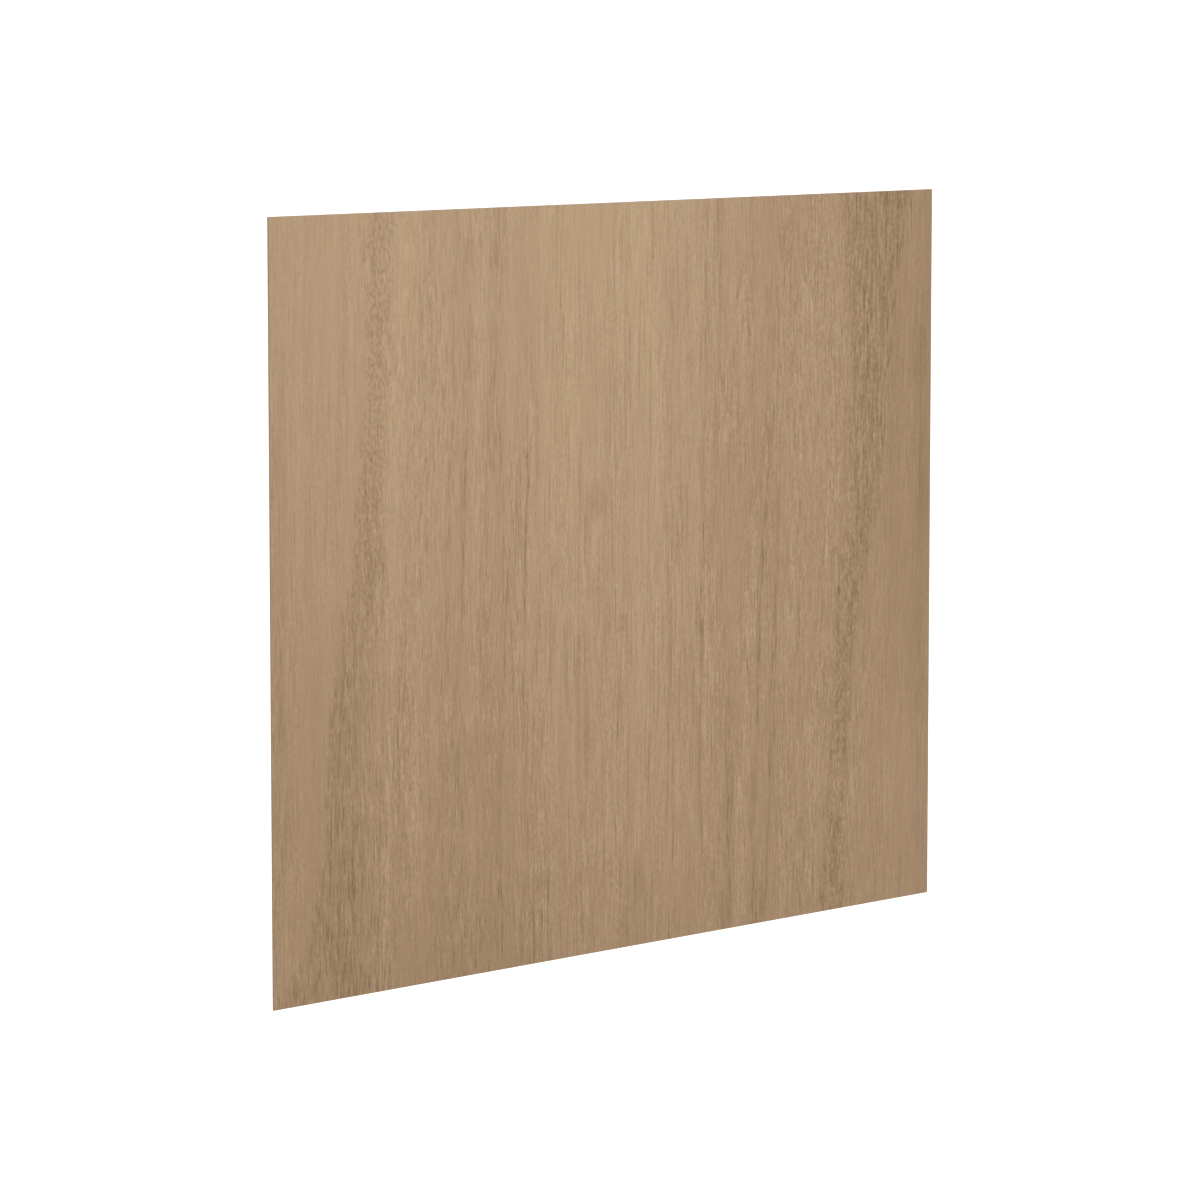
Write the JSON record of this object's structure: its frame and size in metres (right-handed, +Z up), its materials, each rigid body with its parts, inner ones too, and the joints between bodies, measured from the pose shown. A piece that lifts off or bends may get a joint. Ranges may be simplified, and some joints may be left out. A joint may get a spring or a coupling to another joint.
{
  "type": "plywood sheet",
  "caption": "Flat rectangular sheet of thin plywood with a warm brown veneer face, square sawn edges and eased arrises, for lining, backing or cutting to size.",
  "frame": {"origin": "middle of the back face, on the surface that the sheet lies on", "axes": "+X across the face grain, along the longer side; +Y along the face grain; +Z up, out of the show face"},
  "size_m": [1.525, 1.22, 0.003],
  "materials": {
    "veneer": "bare sanded veneer, satin"
  },
  "bodies": {
    "root": {"plywood_sheet": "veneer"}
  },
  "joints": []
}
